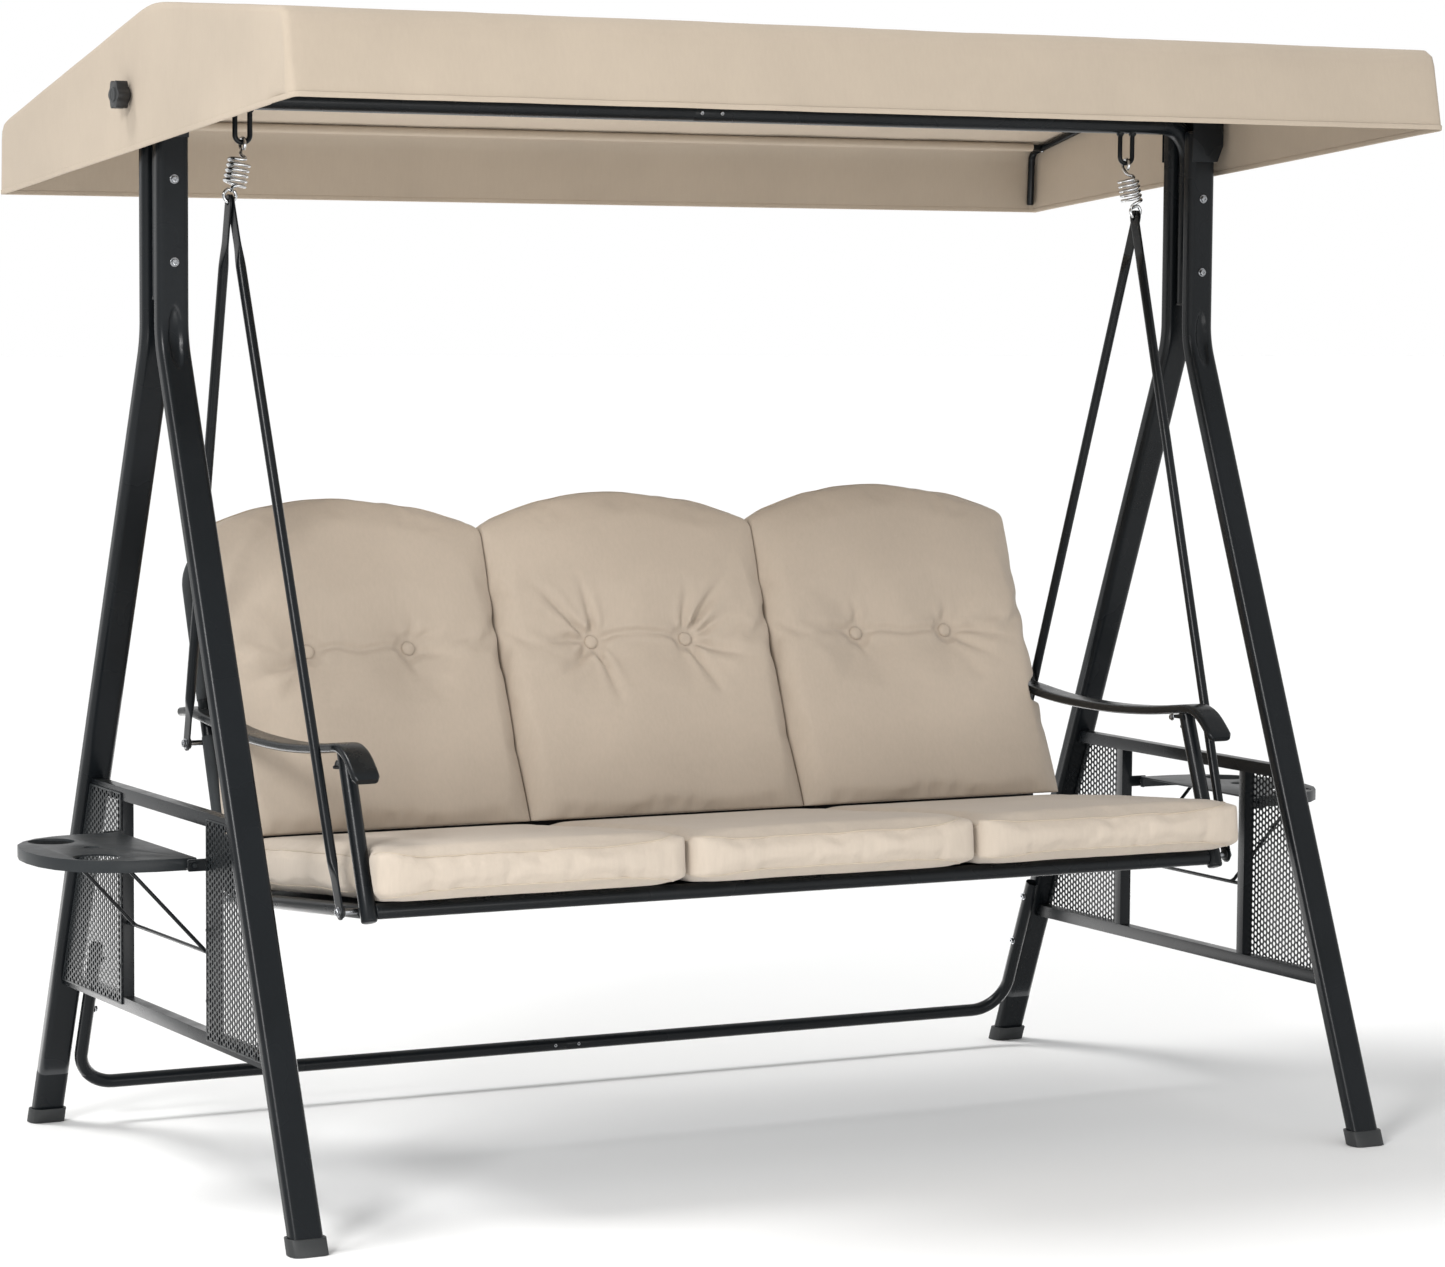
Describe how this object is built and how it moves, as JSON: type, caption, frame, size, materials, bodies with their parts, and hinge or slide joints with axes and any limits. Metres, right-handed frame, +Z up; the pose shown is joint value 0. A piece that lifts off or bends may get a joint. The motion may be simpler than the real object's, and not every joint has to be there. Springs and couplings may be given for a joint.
{
  "type": "canopy swing bench",
  "caption": "Canopy swing bench: tube stand on splayed legs, tilting fabric roof, cushioned seat on springs and hanger rods, folding side trays.",
  "frame": {"origin": "centre of the rest pose's bounding box, on the floor", "axes": "+X along the bench to the sitter's left (the right-hand side seen from the front), +Y towards the back, +Z up"},
  "size_m": [2.28, 1.235, 1.7769],
  "materials": {
    "frame_paint": "satin charcoal powder coat",
    "panel": "charcoal powder coat, perforated",
    "foot_cap": "moulded black plastic",
    "zinc": "zinc-plated steel",
    "spring": "bright zinc-plated spring steel",
    "knob": "moulded black plastic",
    "sling": "dark woven mesh",
    "seat_cloth": "cream woven polyester",
    "back_cloth": "beige woven polyester",
    "canopy_cloth": "beige coated polyester"
  },
  "bodies": {
    "stand": {"leg_front_left": "frame_paint", "leg_front_right": "frame_paint", "leg_back_left": "frame_paint", "leg_back_right": "frame_paint", "foot_front_left": "foot_cap", "foot_front_right": "foot_cap", "foot_back_left": "foot_cap", "foot_back_right": "foot_cap", "crossbar_left": "frame_paint", "crossbar_right": "frame_paint", "post_bolt_upper_left": "zinc", "post_bolt_upper_right": "zinc", "post_bolt_lower_left": "zinc", "post_bolt_lower_right": "zinc", "canopy_bracket_left": "frame_paint", "canopy_bracket_right": "frame_paint", "hanger_loop_left": "frame_paint", "hanger_loop_right": "frame_paint", "side_frame_left": "frame_paint", "side_frame_right": "frame_paint", "panel_front_left": "panel", "panel_front_right": "panel", "panel_back_left": "panel", "panel_back_right": "panel", "ground_bar_left": "frame_paint", "ground_bar_right": "frame_paint"},
    "hanger": {"spring_left": "spring", "spring_right": "spring"},
    "seat": {"hanger_rod_front_left": "frame_paint", "hanger_rod_front_right": "frame_paint", "hanger_rod_rear_left": "frame_paint", "hanger_rod_rear_right": "frame_paint", "seat_post_left": "frame_paint", "seat_post_right": "frame_paint", "seat_rail_left": "frame_paint", "seat_rail_right": "frame_paint", "seat_front_rail": "frame_paint", "seat_rear_rail": "frame_paint", "back_frame": "frame_paint", "armrest_left": "frame_paint", "armrest_right": "frame_paint", "seat_sling": "sling", "back_sling": "sling", "seat_cushion_left": "seat_cloth", "seat_cushion_middle": "seat_cloth", "seat_cushion_right": "seat_cloth", "back_cushion_left": "back_cloth", "back_cushion_middle": "back_cloth", "back_cushion_right": "back_cloth"},
    "canopy": {"canopy_cover": "canopy_cloth", "canopy_bow_left": "frame_paint", "canopy_bow_right": "frame_paint", "canopy_rail_front": "frame_paint", "canopy_rail_back": "frame_paint"},
    "knob_left": {"canopy_knob_left": "knob"},
    "knob_right": {"canopy_knob_right": "knob"},
    "tray_left_body": {"tray_left": "frame_paint"},
    "tray_right_body": {"tray_right": "frame_paint"},
    "tray_wire_left_body": {"tray_wire_left": "frame_paint"},
    "tray_wire_right_body": {"tray_wire_right": "frame_paint"}
  },
  "joints": [
    {"name": "swing", "type": "hinge", "parent": "stand", "child": "hanger", "pos_m": [0, 0.0225, 1.58], "axis": [1, 0, 0], "range_deg": [-20, 20]},
    {"name": "spring_bounce", "type": "slide", "parent": "hanger", "child": "seat", "axis": [0, 0, -1], "range_m": [0, 0.03], "stiffness_N_per_m": 80000, "springref_m": -0.004, "deforming": ["spring_left", "spring_right"]},
    {"name": "canopy_tilt", "type": "hinge", "parent": "stand", "child": "canopy", "pos_m": [0, 0.0225, 1.646], "axis": [1, 0, 0], "range_deg": [-15, 35]},
    {"name": "knob_turn_left", "type": "hinge", "parent": "canopy", "child": "knob_left", "pos_m": [-0.98, 0.0225, 1.646], "axis": [-1, 0, 0], "continuous": true},
    {"name": "knob_turn_right", "type": "hinge", "parent": "canopy", "child": "knob_right", "pos_m": [0.98, 0.0225, 1.646], "axis": [1, 0, 0], "continuous": true},
    {"name": "tray_fold_left", "type": "hinge", "parent": "stand", "child": "tray_left_body", "pos_m": [-0.946, 0.0065, 0.514], "axis": [0, -1, 0], "range_deg": [0, 90]},
    {"name": "tray_fold_right", "type": "hinge", "parent": "stand", "child": "tray_right_body", "pos_m": [0.946, 0.0065, 0.514], "axis": [0, 1, 0], "range_deg": [0, 90]},
    {"name": "wire_fold_left", "type": "hinge", "parent": "stand", "child": "tray_wire_left_body", "pos_m": [-0.915, 0.0065, 0.379], "axis": [0, -1, 0], "range_deg": [0, 126]},
    {"name": "wire_fold_right", "type": "hinge", "parent": "stand", "child": "tray_wire_right_body", "pos_m": [0.915, 0.0065, 0.379], "axis": [0, 1, 0], "range_deg": [0, 126]}
  ],
  "couplings": [
    {"joint": "wire_fold_left", "follows": "tray_fold_left", "ratio": 1.394},
    {"joint": "wire_fold_right", "follows": "tray_fold_right", "ratio": 1.394}
  ]
}
